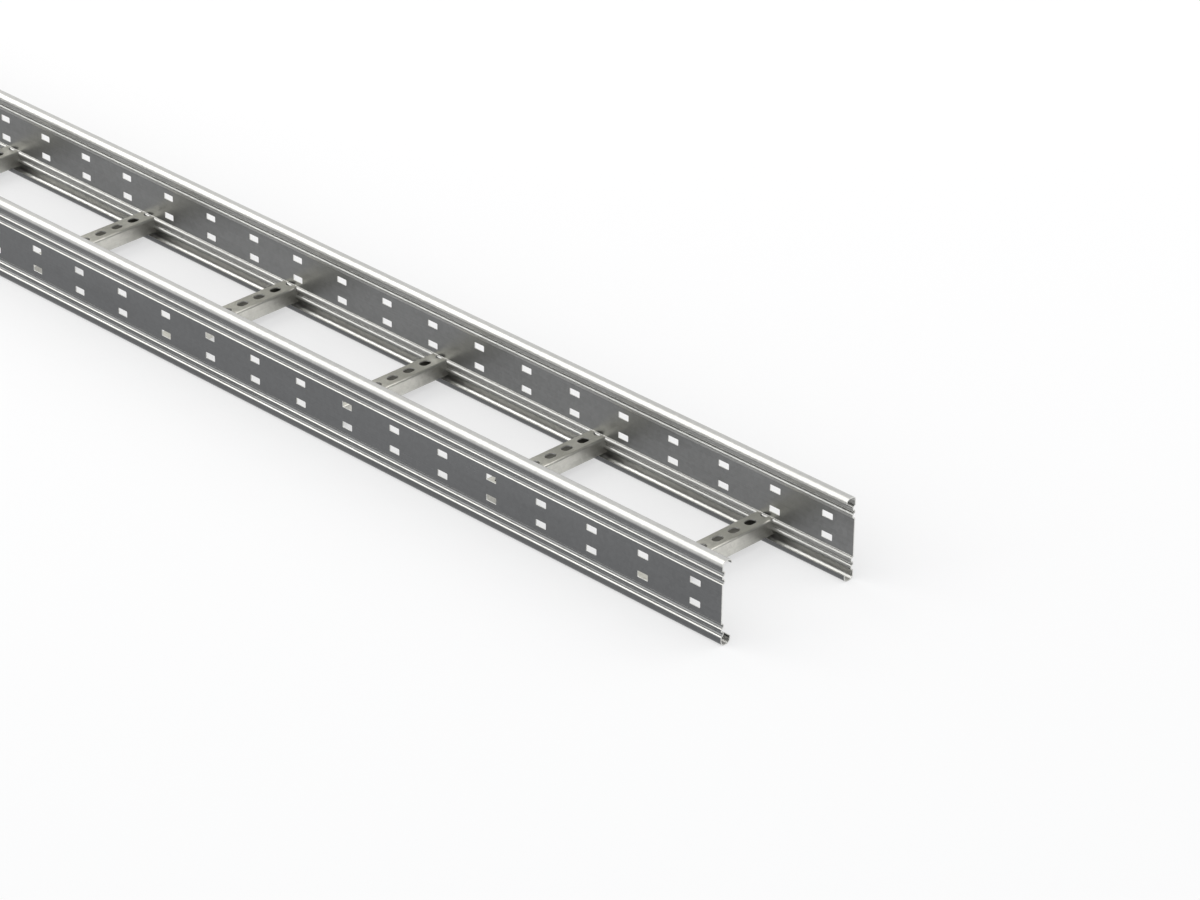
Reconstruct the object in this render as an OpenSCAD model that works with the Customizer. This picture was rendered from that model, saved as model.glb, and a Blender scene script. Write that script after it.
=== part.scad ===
// Cable ladder section: two roll-formed side rails with perforated channel rungs between them.
// Millimetres. X runs along the ladder, Z is up, the underside rests on z = 0.

/* [Ladder] */
// Overall width over both side rails
width = 200; // [150:50:600]
// Height of a side rail
rail_height = 100; // [96:2:150]
// Distance from one rung centre to the next
rung_pitch = 250; // [200:50:300]
// Distance from each end of the rails to the nearest rung centre
end_distance = 125; // [75:25:200]

/* [Side rail sheet] */
// Sheet thickness of the side rail
rail_sheet = 1.2; // [0.8:0.1:2]
// How far the top bead and the bottom hook reach inward
flange_reach = 14; // [14:0.5:18]
// Outer bend radius of the top bead
bead_bend_radius = 5; // [3:0.5:6.5]
// Height of the top bead down to the end of its lip
bead_depth = 5.5; // [4:0.5:10]
// Outer bend radius of the bottom hook
hook_bend_radius = 6; // [4:0.25:7]
// Height of the hook lip that carries the rungs
hook_lip_height = 8.5; // [7.5:0.5:12]

/* [Stiffening ribs] */
// Depth of one rib pressed inward
rib_depth = 3; // [1:0.25:4]
// Half the height of one rib, measured on the outer face
rib_half_height = 3.9; // [3:0.1:4.2]
// Outer radius of the rim where a rib leaves the web
rib_rim_radius = 1.6; // [1.4:0.1:1.8]
// Distance between the two ribs of a pair
rib_pitch = 9.2; // [8.8:0.1:12]
// Distance from the top or bottom edge of the rail to the middle of a rib pair
rib_edge_distance = 19; // [18:0.25:20]

/* [Web perforation] */
// Length of a rectangular web hole along X
web_hole_length = 15; // [8:0.5:25]
// Height of a rectangular web hole
web_hole_height = 7.5; // [5:0.5:12]
// Corner radius of a web hole
web_hole_corner = 1; // [0.5:0.25:2]
// Distance between hole columns along X
web_hole_pitch = 75; // [50:25:125]
// Height of the lower hole row above the underside
web_row_height = 37; // [35:0.5:40]
// Distance between the two hole rows
web_row_gap = 25; // [20:1:28]

/* [Rung] */
// Width of a rung along X
rung_width = 25; // [20:1:40]
// Height of the top face of a rung above the underside
rung_top_height = 27; // [24:0.5:30]
// Sheet thickness of a rung
rung_sheet = 1.5; // [1:0.1:2.5]
// Outer bend radius along the two top edges of a rung
rung_bend_radius = 2.5; // [2:0.25:4]
// Width of a rung slot along X
rung_slot_width = 10; // [6:0.5:12]
// Length of a rung slot along Y
rung_slot_length = 14.5; // [11:0.5:18]
// Distance between rung slots along Y
rung_slot_pitch = 25; // [20:1:30]

/* [Hidden] */
NODES = ["right_side_rail", "left_side_rail", "rung_01", "rung_02", "rung_03", "rung_04",
  "rung_05", "rung_06", "rung_07", "rung_08", "rung_09", "rung_10", "rung_11", "rung_12"];
$fn = 64;
half_width = width / 2;
rung_count = len(NODES) - 2;
length = (rung_count - 1) * rung_pitch + 2 * end_distance;
rib_sum = (rib_half_height * rib_half_height + rib_depth * rib_depth) / (2 * rib_depth);
rib_floor_radius = rib_sum - rib_rim_radius;
rib_angle = asin(rib_half_height / rib_sum);
column_count = floor(length / web_hole_pitch);
zinc = [0.72, 0.73, 0.74];
rung_zinc = [0.66, 0.67, 0.68];
cut = 1;

// One pressed rib as a flat shape: the floor arc and the flare out to the web.
// Grown by the sheet thickness it is the ridge on the inner side of the web.
module rib_shape(grow) {
  floor_radius = rib_floor_radius + grow;
  rim_radius = rib_rim_radius - grow;
  flare_depth = rib_rim_radius - rim_radius * cos(rib_angle);
  translate([rib_depth - rib_floor_radius, 0]) circle(r = floor_radius);
  difference() {
    translate([-cut, -rib_half_height]) square([cut + flare_depth, 2 * rib_half_height]);
    for (side = [-1, 1]) {
      translate([rib_rim_radius, side * rib_half_height]) circle(r = rim_radius);
    }
  }
}

// The pair of ribs near the bottom edge and the pair near the top edge.
module rib_rows(grow) {
  for (pair = [rib_edge_distance, rail_height - rib_edge_distance]) {
    for (step = [-0.5, 0.5]) {
      translate([0, pair + step * rib_pitch]) rib_shape(grow);
    }
  }
}

// A box from [inset, inset] with its own radius at the bottom and at the top corners.
module rounded_outline(inset) {
  low = hook_bend_radius - inset;
  high = bead_bend_radius - inset;
  right = flange_reach - inset;
  top = rail_height - inset;
  difference() {
    translate([inset, inset]) square([right - inset, top - inset]);
    translate([inset - cut, inset - cut]) square([cut + low, cut + low]);
    translate([right - low, inset - cut]) square([cut + low, cut + low]);
    translate([inset - cut, top - high]) square([cut + high, cut + high]);
    translate([right - high, top - high]) square([cut + high, cut + high]);
  }
  translate([inset + low, inset + low]) circle(r = low);
  translate([right - low, inset + low]) circle(r = low);
  translate([inset + high, top - high]) circle(r = high);
  translate([right - high, top - high]) circle(r = high);
}

// Cross section of a side rail: x is the way inward from the outer face, y is the height.
module rail_section() {
  difference() {
    rounded_outline(0);
    rib_rows(0);
    difference() {
      rounded_outline(rail_sheet);
      rib_rows(rail_sheet);
    }
    translate([flange_reach - rail_sheet - cut, hook_lip_height])
      square([rail_sheet + 2 * cut, rail_height - bead_depth - hook_lip_height]);
  }
}

module web_hole() {
  flat_x = web_hole_length - 2 * web_hole_corner;
  flat_z = web_hole_height - 2 * web_hole_corner;
  rotate([90, 0, 0]) linear_extrude(height = 4 * cut, center = true) {
    square([web_hole_length, flat_z], center = true);
    square([flat_x, web_hole_height], center = true);
    for (sx = [-1, 1]) {
      for (sz = [-1, 1]) {
        translate([sx * flat_x / 2, sz * flat_z / 2]) circle(r = web_hole_corner);
      }
    }
  }
}

// The rail on the right of the ladder, its outer face at y = -half_width.
module side_rail() {
  difference() {
    translate([-length / 2, -half_width, 0]) rotate([90, 0, 90])
      linear_extrude(height = length) rail_section();
    for (column = [0 : column_count - 1]) {
      for (row = [0, 1]) {
        translate([(column - (column_count - 1) / 2) * web_hole_pitch,
          -half_width, web_row_height + row * web_row_gap]) web_hole();
      }
    }
  }
}

module right_side_rail() {
  color(zinc) side_rail();
}

module left_side_rail() {
  color(zinc) mirror([0, 1, 0]) side_rail();
}

module rung_slot() {
  straight = rung_slot_length - rung_slot_width;
  linear_extrude(height = 4 * rung_sheet, center = true) {
    square([rung_slot_width, straight], center = true);
    translate([0, straight / 2]) circle(r = rung_slot_width / 2);
    translate([0, -straight / 2]) circle(r = rung_slot_width / 2);
  }
}

// Inverted channel section of a rung: x is the way along the ladder, y is the height.
module rung_section() {
  outer = rung_width / 2;
  inner = outer - rung_sheet;
  bend = rung_bend_radius;
  inner_bend = rung_bend_radius - rung_sheet;
  top = rung_top_height;
  difference() {
    union() {
      translate([-outer, hook_lip_height]) square([rung_width, top - bend - hook_lip_height]);
      translate([bend - outer, hook_lip_height]) square([rung_width - 2 * bend, top - hook_lip_height]);
      translate([bend - outer, top - bend]) circle(r = bend);
      translate([outer - bend, top - bend]) circle(r = bend);
    }
    translate([-inner, hook_lip_height - cut]) square([2 * inner, top - bend - hook_lip_height + cut]);
    translate([bend - outer, hook_lip_height - cut])
      square([rung_width - 2 * bend, top - rung_sheet - hook_lip_height + cut]);
    translate([bend - outer, top - bend]) circle(r = inner_bend);
    translate([outer - bend, top - bend]) circle(r = inner_bend);
  }
}

// One rung: the channel, its row of slots, and both ends coped to the ridges of the webs.
module rung() {
  reach = half_width - rail_sheet;
  slot_steps = ceil(half_width / rung_slot_pitch);
  difference() {
    translate([0, reach, 0]) rotate([90, 0, 0]) linear_extrude(height = 2 * reach) rung_section();
    for (step = [-slot_steps : slot_steps]) {
      translate([0, step * rung_slot_pitch, rung_top_height]) rung_slot();
    }
    for (side = [0, 1]) {
      mirror([0, side, 0]) translate([-rung_width, -half_width, 0]) rotate([90, 0, 90])
        linear_extrude(height = 2 * rung_width) rib_rows(rail_sheet);
    }
  }
}

module placed_rung(number) {
  color(rung_zinc) translate([(number - (rung_count + 1) / 2) * rung_pitch, 0, 0]) rung();
}

right_side_rail();
left_side_rail();
placed_rung(1);  // rung_01
placed_rung(2);  // rung_02
placed_rung(3);  // rung_03
placed_rung(4);  // rung_04
placed_rung(5);  // rung_05
placed_rung(6);  // rung_06
placed_rung(7);  // rung_07
placed_rung(8);  // rung_08
placed_rung(9);  // rung_09
placed_rung(10);  // rung_10
placed_rung(11);  // rung_11
placed_rung(12);  // rung_12
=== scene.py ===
import math

import bpy
import numpy as np
from mathutils import Matrix, Vector

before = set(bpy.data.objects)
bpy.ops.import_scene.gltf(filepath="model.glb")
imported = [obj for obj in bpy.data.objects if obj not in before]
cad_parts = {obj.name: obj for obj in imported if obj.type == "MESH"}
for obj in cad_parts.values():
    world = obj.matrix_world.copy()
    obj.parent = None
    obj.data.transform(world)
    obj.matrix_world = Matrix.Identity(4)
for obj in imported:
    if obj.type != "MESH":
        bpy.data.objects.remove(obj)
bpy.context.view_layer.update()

print("frame loaded:", len(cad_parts), "nodes")

# sockets known by number: the limits of Map Range, which are 0 and 1 where not set, and both sides of Mix
fromMin, fromMax, toMin, toMax = 1, 2, 3, 4
floatA, floatB = 2, 3
colourA, colourB, colourResult = 6, 7, 2


# helpers
def linearColour(hexCode):
    # sRGB hex to linear: up to 0.04045 divide by 12.92, else ((c + 0.055) / 1.055) to the power 2.4
    values = [int(hexCode[i:i + 2], 16) / 255 for i in (1, 3, 5)]
    linear = [v / 12.92 if v <= 0.04045 else ((v + 0.055) / 1.055) ** 2.4 for v in values]
    return (*linear, 1.0)


def node(tree, kind, settings=None, links=None):
    # adds one node: settings are its properties or socket values, links are socket: source,
    # where a source that is a node stands for its first output
    made = tree.nodes.new(kind)
    for name, value in (settings or {}).items():
        if isinstance(name, int) or name in made.inputs:
            made.inputs[name].default_value = value
        else:
            setattr(made, name, value)
    for name, source in (links or {}).items():
        output = source.outputs[0] if hasattr(source, "outputs") else source
        tree.links.new(output, made.inputs[name])
    return made


def newMaterial(name):
    material = bpy.data.materials.new(name)
    material.use_nodes = True
    material.node_tree.nodes.clear()
    return material, material.node_tree


def addGrid(name, points, faces, material):
    mesh = bpy.data.meshes.new(name)
    mesh.from_pydata(points.tolist(), [], faces.tolist())
    mesh.update()
    mesh.materials.append(material)
    made = bpy.data.objects.new(name, mesh)
    bpy.context.scene.collection.objects.link(made)
    return made


# camera
cameraSettings = {
    "place": (4.5719, -3.3910, 2.6979),  # metres
    "azimuth": 44.626,  # degrees round from the -Y side towards +X
    "elevation": 28.758,
    "roll": 0.671,
    "lens": 153.864,  # millimetres, as the sensor
    "sensor": 36,
    "clip": (0.05, 200),
}


def addCamera(settings):
    azimuth, elevation, roll = (math.radians(settings[k]) for k in ("azimuth", "elevation", "roll"))
    right = Vector((math.cos(azimuth), math.sin(azimuth), 0))
    level = math.cos(elevation)
    back = Vector((math.sin(azimuth) * level, -math.cos(azimuth) * level, math.sin(elevation)))
    up = back.cross(right)
    rolledRight = math.cos(roll) * right + math.sin(roll) * up
    rolledUp = -math.sin(roll) * right + math.cos(roll) * up
    data = bpy.data.cameras.new("camera")
    data.lens = settings["lens"]
    data.sensor_width = settings["sensor"]
    data.clip_start, data.clip_end = settings["clip"]
    made = bpy.data.objects.new("camera", data)
    bpy.context.scene.collection.objects.link(made)
    turn = Matrix((rolledRight, rolledUp, back)).transposed().to_4x4()
    made.matrix_world = Matrix.Translation(Vector(settings["place"])) @ turn
    bpy.context.scene.camera = made


addCamera(cameraSettings)
print("camera placed")

# light
lightSettings = {
    # a wide softbox high up beyond the left end, which the tops of the bends mirror
    "overhead": {"at": (-3.9, -0.5, 4.4), "to": (0.6, 0.0, 0.0), "size": (5.6, 5.4),
                 "watts": 178, "tint": "#FFFCF7"},
    # one in front on the left, for the sides of the beads and the tops of the rungs
    "front": {"at": (-3.6, -4.6, 3.4), "to": (0.7, 0.0, 0.0), "size": (6.4, 4.4),
              "watts": 140, "tint": "#FFFEFB"},
    # a weak key from behind, for a soft shade on the floor
    "key": {"at": (3.0, 4.8, 4.4), "to": (0.8, 0.0, 0.0), "size": (4.0, 4.0),
            "watts": 80, "tint": "#FFFDFA"},
}


def addSoftbox(name, settings):
    data = bpy.data.lights.new(name, "AREA")
    data.shape = "RECTANGLE"
    data.size, data.size_y = settings["size"]
    data.energy = settings["watts"]
    data.color = linearColour(settings["tint"])[:3]
    made = bpy.data.objects.new(name, data)
    bpy.context.scene.collection.objects.link(made)
    aim = Vector(settings["to"]) - Vector(settings["at"])
    made.rotation_euler = aim.to_track_quat("-Z", "Y").to_euler()
    made.location = settings["at"]


for lightName, oneLight in lightSettings.items():
    addSoftbox(lightName, oneLight)

worldSettings = {
    "fill": ("#F2F3F5", 0.90),  # colour and strength of the light from all round
    "seen": ("#FFFFFF", 1.0),  # and of what the camera and the metal see there
}


def seenDirectly(tree):
    # 1 for camera, glossy and transmission rays, 0 for the rays that carry diffuse light
    path = node(tree, "ShaderNodeLightPath")
    seenOrGlossy = node(tree, "ShaderNodeMath", {"operation": "MAXIMUM"},
                        {0: path.outputs["Is Camera Ray"], 1: path.outputs["Is Glossy Ray"]})
    return node(tree, "ShaderNodeMath", {"operation": "MAXIMUM"},
                {0: seenOrGlossy, 1: path.outputs["Is Transmission Ray"]})


def addWorld(settings):
    world = bpy.data.worlds.new("studio")
    world.use_nodes = True
    tree = world.node_tree
    tree.nodes.clear()
    fill, seen = (node(tree, "ShaderNodeBackground", {"Color": linearColour(colour), "Strength": strength})
                  for colour, strength in (settings["fill"], settings["seen"]))
    mix = node(tree, "ShaderNodeMixShader", {}, {0: seenDirectly(tree), 1: fill, 2: seen})
    node(tree, "ShaderNodeOutputWorld", {}, {"Surface": mix})
    bpy.context.scene.world = world


addWorld(worldSettings)
bpy.context.scene.view_settings.view_transform = "Standard"
print("lights set")

# floor
floorSettings = {
    "half": 30.0,  # metres from the middle to each side
    "paper": ("#F1F1F1", "#F6F6F6"),
    "fibre": 900.0,  # paper fibres about 1 mm long
    "roughness": 0.9,
    "glow": ("#FFFFFF", 1.0),  # colour and strength of the backdrop's own white
    "white": 0.55,  # how much of that white shows, the rest is lit paper with its shadow
}


def addFloor(settings):
    material, tree = newMaterial("matt paper backdrop")  # even, matt and nearly white
    coordinates = node(tree, "ShaderNodeTexCoord")
    fibres = node(tree, "ShaderNodeTexNoise", {"Scale": settings["fibre"]},
                  {"Vector": coordinates.outputs["Object"]})
    dark, light = (linearColour(c) for c in settings["paper"])
    tone = node(tree, "ShaderNodeMix", {"data_type": "RGBA", colourA: dark, colourB: light}, {0: fibres})
    paper = node(tree, "ShaderNodeBsdfDiffuse", {"Roughness": settings["roughness"]},
                 {"Color": tone.outputs[colourResult]})
    glowColour, strength = settings["glow"]
    glow = node(tree, "ShaderNodeEmission", {"Color": linearColour(glowColour), "Strength": strength})
    share = node(tree, "ShaderNodeMath", {"operation": "MULTIPLY", 1: settings["white"]},
                 {0: seenDirectly(tree)})
    mix = node(tree, "ShaderNodeMixShader", {}, {0: share, 1: paper, 2: glow})
    node(tree, "ShaderNodeOutputMaterial", {}, {"Surface": mix})
    # a square: the four pairs of signs times half its side, at height 0
    signs = np.array([(-1, -1, 0), (1, -1, 0), (1, 1, 0), (-1, 1, 0)], float)
    addGrid("floor", signs * settings["half"], np.array([(0, 1, 2, 3)]), material)


addFloor(floorSettings)
print("floor laid")

# galvanised sheet
# each tone is a colour and a roughness; lines and clouds are pattern scales along X, Y and Z, per metre
railSettings = {
    "name": "pregalvanised steel strip, roll formed",
    # the dark first tone is painted shade on the flat faces, and the light second tone a painted highlight
    # on the bends
    "tones": {"flat": ("#6C6D6E", 0.32), "bentPaintedHighlight": ("#C8C8C5", 0.38), "sheared": ("#D6D6D3", 0.45)},
    "lines": (3, 650, 650),  # drawn lines along the rail, about 1.5 mm apart, coarser than real
    "clouds": (6, 25, 25),  # duller patches about 40 mm high and 160 mm long
    # places, metres
    "middle": 0.0500,  # height of the middle of the rail
    "webHalf": 0.0220,  # half the height of the flat web between the pairs of ribs
    "ribbedHalf": 0.0415,  # half the height over both pairs of ribs
    "beadStart": (0.0928, 0.0948),  # heights between which the web turns to the bead
    "hookTop": 0.0120,  # the hook lies below this height
    "hookFoot": (0.0050, 0.0080),  # heights between which the foot of the hook turns to its wall
    "grooveSide": 0.0985,  # the floors of the grooves lie nearer to the ladder's middle than this
    "lipSide": 0.0875,  # and so does the outside of the hook's lip
    # how squarely a spot faces one way, 0 to 1
    "rimTilt": (0.97, 0.80),  # the rims face sideways, from flat to bent
    "lipTilt": (0.80, 0.98),  # the bead's lip faces sideways, from the bent tone to a painted highlight in the sheared tone
    "floorTilt": 0.02,  # the floor of the hook faces up by more than this
    "endTilt": 0.9,  # the cut ends face along X by more than this
    "holeTilt": 0.5,  # the walls of the web holes face sideways by less than this
    # how strong the painted light is, from the dark flat tone 0 to the light bent tone 1
    "bead": 0.80,
    "grooves": 0.06,
    "foot": 0.76,
    "innerRibs": 0.48,
    "innerWeb": 0.14,
}
rungSettings = {
    "name": "pregalvanised steel strip, pressed channel",
    # the light side tone is a painted highlight on the flanges; the dark tones near the rails and inside
    # the channel are painted shade
    "tones": {"top": ("#BEBDB4", 0.34), "side": ("#DAD9D2", 0.40), "paintedShadeNearRails": ("#75746E", 0.45),
              "inside": ("#7C7B74", 0.45), "sheared": ("#D6D6D3", 0.45)},
    "lines": (650, 3, 650),
    "clouds": (25, 6, 25),
    # places, metres
    "pitch": 0.250,  # distance from rung to rung
    "paintedShadeStart": (0.040, 0.065),  # the flanges darken with painted shade towards the rails, between these distances from the ladder's middle
    "inward": -0.001,  # inside, the distance from the rung's middle times the way it faces is below this
    "slotRoof": 0.0256,  # height above which only the slots' walls stand upright
    # how squarely a spot faces one way, 0 to 1
    "flangeTilt": (0.30, 0.75),  # the flanges face along X, from the top tone to the lighter side tone, a painted highlight
    "downTilt": -0.5,  # the undersides face up by less than this
    "endTilt": 0.9,  # the coped ends face along Y by more than this
    "slotTilt": 0.2,  # the walls of the slots face up or down by less than this
    # how dark the painted shade at the ends of the flanges gets, 0 to 1
    "paintedShadeDepth": 0.35,
}
zincSettings = {
    "spangle": 250.0,  # zinc crystals about 4 mm wide, coarser than the real 1 mm so that they show
    "crystalTilt": 0.05,  # how far each crystal leans
    "crystalShade": 0.09,
    "cloudShade": 0.22,
    "cloudDetail": 3.0,
    "lineShade": 0.16,
    "lineDetail": 2.0,
    "lineDepth": 0.00004,  # metres
    "roughSwing": 0.5,  # brighter zinc is smoother by this much of its shade
    "edge": "#D0D0CC",
    "edgeRub": 0.45,
    "edgeRadius": 0.0007,  # metres
    "edgeSamples": 4,
    "edgeBend": (0.99, 0.75),  # dot product of the rounded and the true normal, from no rub to full rub
}


def railTones(tree, spot, facing, settings):
    # where a rail is bent or sheared, found from the place of a spot and the way it faces
    height = spot.outputs["Z"]
    aside = node(tree, "ShaderNodeMath", {"operation": "ABSOLUTE"}, {0: spot.outputs["Y"]})
    facesAside = node(tree, "ShaderNodeMath", {"operation": "ABSOLUTE"}, {0: facing.outputs["Y"]})
    facesAlong = node(tree, "ShaderNodeMath", {"operation": "ABSOLUTE"}, {0: facing.outputs["X"]})
    outward = node(tree, "ShaderNodeMath", {"operation": "MULTIPLY"},
                   {0: spot.outputs["Y"], 1: facing.outputs["Y"]})
    inner = node(tree, "ShaderNodeMath", {"operation": "LESS_THAN", 1: 0.0}, {0: outward})
    web = node(tree, "ShaderNodeMath",
               {"operation": "COMPARE", 1: settings["middle"], 2: settings["webHalf"]}, {0: height})
    ribbed = node(tree, "ShaderNodeMath",
                  {"operation": "COMPARE", 1: settings["middle"], 2: settings["ribbedHalf"]}, {0: height})
    hooked = node(tree, "ShaderNodeMath", {"operation": "LESS_THAN", 1: settings["hookTop"]}, {0: height})

    # painted highlight, outside: the rims of the ribs and the whole of the bead are made lighter, and the
    # grooves a little
    proud = node(tree, "ShaderNodeMath", {"operation": "GREATER_THAN", 1: settings["grooveSide"]},
                 {0: aside})
    rim = node(tree, "ShaderNodeMath", {"operation": "MULTIPLY"}, {0: proud, 1: ribbed})
    flat, bowed = settings["rimTilt"]
    rimBend = node(tree, "ShaderNodeMapRange", {fromMin: flat, fromMax: bowed}, {0: facesAside})
    rimPaintedHighlight = node(tree, "ShaderNodeMath", {"operation": "MULTIPLY"}, {0: rim, 1: rimBend})
    groove = node(tree, "ShaderNodeMath", {"operation": "SUBTRACT"}, {0: ribbed, 1: rim})
    groovePaintedHighlight = node(tree, "ShaderNodeMath", {"operation": "MULTIPLY", 1: settings["grooves"]}, {0: groove})
    low, high = settings["beadStart"]
    beadPaintedHighlight = node(tree, "ShaderNodeMapRange", {fromMin: low, fromMax: high, toMax: settings["bead"]},
                   {0: height})

    # painted light, in the hook: what faces up and the web behind the lip are made lighter, both less at
    # the foot
    foot, wall = settings["hookFoot"]
    hookTone = node(tree, "ShaderNodeMapRange", {fromMin: foot, fromMax: wall, toMin: settings["foot"]},
                    {0: height})
    facesUp = node(tree, "ShaderNodeMath", {"operation": "GREATER_THAN", 1: settings["floorTilt"]},
                   {0: facing.outputs["Z"]})
    hookFloor = node(tree, "ShaderNodeMath", {"operation": "MULTIPLY"}, {0: hooked, 1: facesUp})
    hookFloorPaintedLight = node(tree, "ShaderNodeMath", {"operation": "MULTIPLY"}, {0: hookFloor, 1: hookTone})
    behindLip = node(tree, "ShaderNodeMath", {"operation": "GREATER_THAN", 1: settings["lipSide"]},
                     {0: aside})
    wallTone = node(tree, "ShaderNodeMath", {"operation": "MULTIPLY"}, {0: behindLip, 1: hookTone})

    # painted light, inside: the ribs are made lighter, and the web less
    ribTone = node(tree, "ShaderNodeMix", {floatA: settings["innerRibs"], floatB: settings["innerWeb"]},
                   {0: web})
    innerTone = node(tree, "ShaderNodeMix", {}, {0: hooked, floatA: ribTone, floatB: wallTone})
    innerPaintedLight = node(tree, "ShaderNodeMath", {"operation": "MULTIPLY"}, {0: inner, 1: innerTone})
    bentPaintedHighlight = innerPaintedLight
    for rub in (rimPaintedHighlight, groovePaintedHighlight, beadPaintedHighlight, hookFloorPaintedLight):
        bentPaintedHighlight = node(tree, "ShaderNodeMath", {"operation": "MAXIMUM"}, {0: bentPaintedHighlight, 1: rub})

    # sheared: the cut ends and the walls of the web holes; and a painted highlight in the same tone on the
    # inside of the bead's lip, beside its slit edge
    end = node(tree, "ShaderNodeMath", {"operation": "GREATER_THAN", 1: settings["endTilt"]},
               {0: facesAlong})
    across = node(tree, "ShaderNodeMath", {"operation": "LESS_THAN", 1: settings["holeTilt"]},
                  {0: facesAside})
    hole = node(tree, "ShaderNodeMath", {"operation": "MULTIPLY"}, {0: across, 1: web})
    cut = node(tree, "ShaderNodeMath", {"operation": "MAXIMUM"}, {0: end, 1: hole})
    slanted, square = settings["lipTilt"]
    lipBend = node(tree, "ShaderNodeMapRange", {fromMin: slanted, fromMax: square}, {0: facesAside})
    innerLip = node(tree, "ShaderNodeMath", {"operation": "MULTIPLY"}, {0: lipBend, 1: inner})
    lipPaintedHighlight = node(tree, "ShaderNodeMath", {"operation": "MULTIPLY"}, {0: innerLip, 1: beadPaintedHighlight})
    sheared = node(tree, "ShaderNodeMath", {"operation": "MAXIMUM"}, {0: cut, 1: lipPaintedHighlight})
    return {"bentPaintedHighlight": bentPaintedHighlight, "sheared": sheared}


def rungTones(tree, spot, facing, settings):
    # side: the flanges, which face along X, get a lighter tone than the top, a painted highlight
    facesAlong = node(tree, "ShaderNodeMath", {"operation": "ABSOLUTE"}, {0: facing.outputs["X"]})
    above, beside = settings["flangeTilt"]
    side = node(tree, "ShaderNodeMapRange", {fromMin: above, fromMax: beside}, {0: facesAlong})
    # painted shade: the flanges are darker at both ends, where the rung meets the rails
    aside = node(tree, "ShaderNodeMath", {"operation": "ABSOLUTE"}, {0: spot.outputs["Y"]})
    shadeFrom, shadeFull = settings["paintedShadeStart"]
    nearRail = node(tree, "ShaderNodeMapRange", {fromMin: shadeFrom, fromMax: shadeFull, toMax: settings["paintedShadeDepth"]},
                    {0: aside})
    paintedShadeNearRails = node(tree, "ShaderNodeMath", {"operation": "MULTIPLY"}, {0: nearRail, 1: side})
    # painted shade inside the channel: what faces the rung's own middle, or down, is darker
    along = node(tree, "ShaderNodeMath", {"operation": "FLOORED_MODULO", 1: settings["pitch"]},
                 {0: spot.outputs["X"]})
    offset = node(tree, "ShaderNodeMath", {"operation": "SUBTRACT", 1: settings["pitch"] / 2}, {0: along})
    outward = node(tree, "ShaderNodeMath", {"operation": "MULTIPLY"}, {0: offset, 1: facing.outputs["X"]})
    inward = node(tree, "ShaderNodeMath", {"operation": "LESS_THAN", 1: settings["inward"]}, {0: outward})
    down = node(tree, "ShaderNodeMath", {"operation": "LESS_THAN", 1: settings["downTilt"]},
                {0: facing.outputs["Z"]})
    inside = node(tree, "ShaderNodeMath", {"operation": "MAXIMUM"}, {0: inward, 1: down})
    # sheared: the coped ends, which face Y, and the walls of the slots
    facesAside = node(tree, "ShaderNodeMath", {"operation": "ABSOLUTE"}, {0: facing.outputs["Y"]})
    end = node(tree, "ShaderNodeMath", {"operation": "GREATER_THAN", 1: settings["endTilt"]},
               {0: facesAside})
    roof = node(tree, "ShaderNodeMath", {"operation": "GREATER_THAN", 1: settings["slotRoof"]},
                {0: spot.outputs["Z"]})
    upright = node(tree, "ShaderNodeMath", {"operation": "COMPARE", 1: 0.0, 2: settings["slotTilt"]},
                   {0: facing.outputs["Z"]})
    slot = node(tree, "ShaderNodeMath", {"operation": "MULTIPLY"}, {0: roof, 1: upright})
    sheared = node(tree, "ShaderNodeMath", {"operation": "MAXIMUM"}, {0: end, 1: slot})
    return {"side": side, "paintedShadeNearRails": paintedShadeNearRails, "inside": inside, "sheared": sheared}


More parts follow.
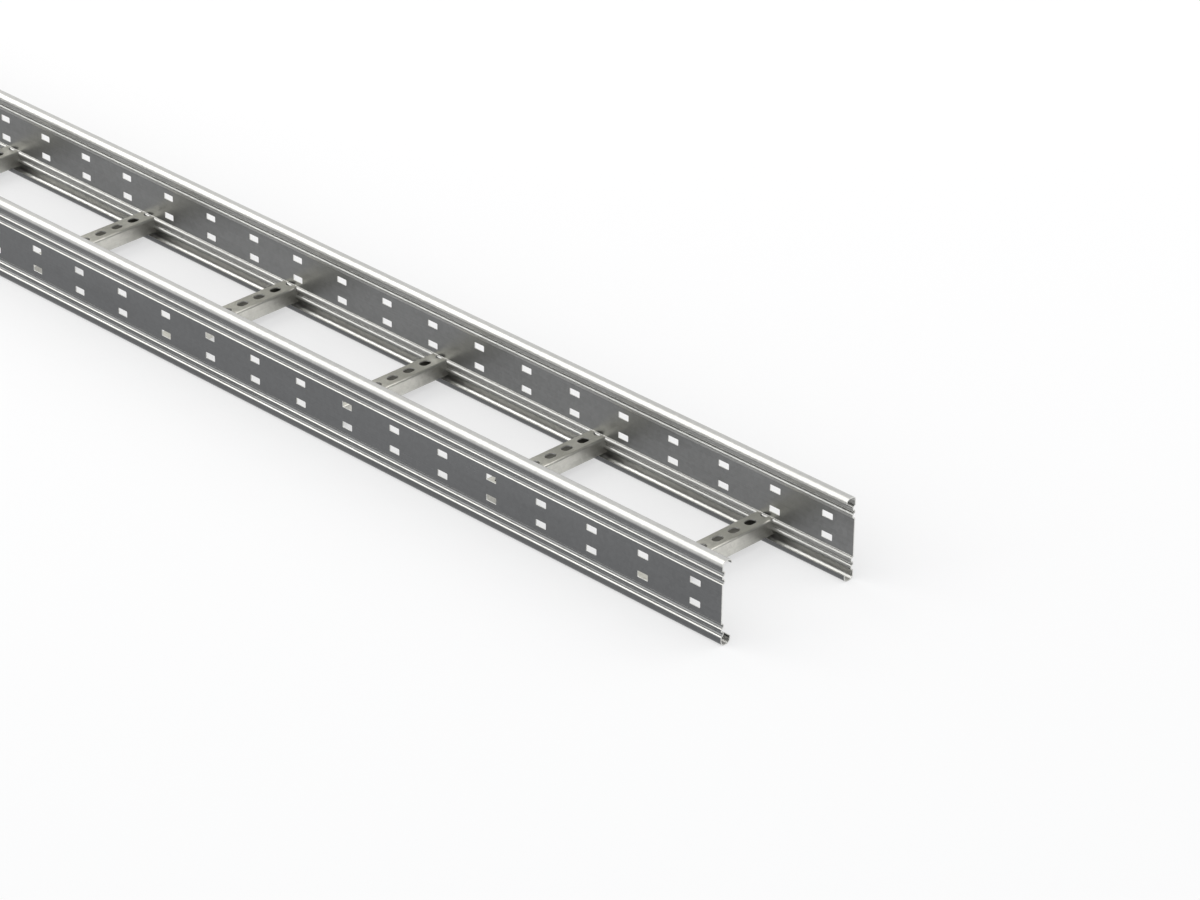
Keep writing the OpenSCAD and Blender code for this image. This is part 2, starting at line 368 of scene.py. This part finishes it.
def addZinc(settings, zinc, findTones):
    # hot dipped zinc as it leaves the rolls: matt grey, with a faint spangle and lines along the strip,
    # rubbed brighter at edges, and bare steel where it was sheared; the tones also paint in light and
    # shade: painted highlights on bends and flanges, painted shade on flat webs, inside the rungs and near
    # the rails
    material, tree = newMaterial(settings["name"])
    coordinates = node(tree, "ShaderNodeTexCoord")
    place = coordinates.outputs["Object"]
    spot = node(tree, "ShaderNodeSeparateXYZ", {}, {0: place})
    facing = node(tree, "ShaderNodeSeparateXYZ", {}, {0: coordinates.outputs["Normal"]})
    trueNormal = node(tree, "ShaderNodeNewGeometry").outputs["Normal"]

    cloudMap = node(tree, "ShaderNodeMapping", {"Scale": settings["clouds"]}, {"Vector": place})
    clouds = node(tree, "ShaderNodeTexNoise", {"Scale": 1.0, "Detail": zinc["cloudDetail"]},
                  {"Vector": cloudMap})
    crystals = node(tree, "ShaderNodeTexVoronoi", {"Scale": zinc["spangle"]}, {"Vector": place})
    crystalGrey = node(tree, "ShaderNodeSeparateColor", {}, {0: crystals.outputs["Color"]})
    lineMap = node(tree, "ShaderNodeMapping", {"Scale": settings["lines"]}, {"Vector": place})
    lines = node(tree, "ShaderNodeTexNoise", {"Scale": 1.0, "Detail": zinc["lineDetail"]},
                 {"Vector": lineMap})

    # shade: 1 plus each pattern's distance from its middle value times its own weight
    start = 1 - (zinc["cloudShade"] + zinc["crystalShade"] + zinc["lineShade"]) / 2
    cloudy = node(tree, "ShaderNodeMath", {"operation": "MULTIPLY_ADD", 1: zinc["cloudShade"], 2: start},
                  {0: clouds})
    spangled = node(tree, "ShaderNodeMath", {"operation": "MULTIPLY_ADD", 1: zinc["crystalShade"]},
                    {0: crystalGrey, 2: cloudy})
    shade = node(tree, "ShaderNodeMath", {"operation": "MULTIPLY_ADD", 1: zinc["lineShade"]},
                 {0: lines, 2: spangled})

    # tones: the first one all over, then each of the others laid over what is there by its mask
    masks = findTones(tree, spot, facing, settings)
    (_, (firstColour, firstRoughness)), *others = settings["tones"].items()
    colourBelow = {}
    roughnessBelow = {}
    for toneName, (hexCode, toneRoughness) in others:
        colourMix = node(tree, "ShaderNodeMix",
                         {"data_type": "RGBA", colourA: linearColour(firstColour),
                          colourB: linearColour(hexCode)},
                         {0: masks[toneName], **colourBelow})
        roughnessMix = node(tree, "ShaderNodeMix", {floatA: firstRoughness, floatB: toneRoughness},
                            {0: masks[toneName], **roughnessBelow})
        colourBelow = {colourA: colourMix.outputs[colourResult]}
        roughnessBelow = {floatA: roughnessMix}

    # edge rub: the rounded normal leaves the true one only near an edge
    rounded = node(tree, "ShaderNodeBevel", {"samples": zinc["edgeSamples"], "Radius": zinc["edgeRadius"]})
    agreement = node(tree, "ShaderNodeVectorMath", {"operation": "DOT_PRODUCT"},
                     {0: rounded, 1: trueNormal})
    plain, worn = zinc["edgeBend"]
    edge = node(tree, "ShaderNodeMapRange", {fromMin: plain, fromMax: worn, toMax: zinc["edgeRub"]},
                {0: agreement.outputs["Value"]})
    rubbed = node(tree, "ShaderNodeMix", {"data_type": "RGBA", colourB: linearColour(zinc["edge"])},
                  {0: edge, **colourBelow})
    shaded = node(tree, "ShaderNodeMix", {"data_type": "RGBA", "blend_type": "MULTIPLY", 0: 1.0},
                  {colourA: rubbed.outputs[colourResult], colourB: shade})
    # brighter zinc is smoother
    swing = node(tree, "ShaderNodeMath",
                 {"operation": "MULTIPLY_ADD", 1: -zinc["roughSwing"], 2: zinc["roughSwing"]}, {0: shade})
    roughness = node(tree, "ShaderNodeMath", {"operation": "ADD"}, {0: roughnessMix, 1: swing})

    # relief: each crystal leans its own way, and the drawn lines stand a few hundredths of a millimetre
    lean = zinc["crystalTilt"]
    centred = node(tree, "ShaderNodeVectorMath", {"operation": "SUBTRACT", 1: (0.5, 0.5, 0.5)},
                   {0: crystals.outputs["Color"]})
    leaning = node(tree, "ShaderNodeVectorMath", {"operation": "MULTIPLY_ADD", 1: (lean, lean, lean)},
                   {0: centred, 2: trueNormal})
    unit = node(tree, "ShaderNodeVectorMath", {"operation": "NORMALIZE"}, {0: leaning})
    relief = node(tree, "ShaderNodeBump", {"Strength": 1.0, "Distance": zinc["lineDepth"]},
                  {"Height": lines, "Normal": unit})
    shader = node(tree, "ShaderNodeBsdfPrincipled", {"Metallic": 1.0},
                  {"Base Color": shaded.outputs[colourResult], "Roughness": roughness, "Normal": relief})
    node(tree, "ShaderNodeOutputMaterial", {}, {"Surface": shader})
    return material


railZinc = addZinc(railSettings, zincSettings, railTones)
rungZinc = addZinc(rungSettings, zincSettings, rungTones)
for nodeName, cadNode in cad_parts.items():
    cadNode.material_slots[0].material = railZinc if "rail" in nodeName else rungZinc
print("zinc applied")
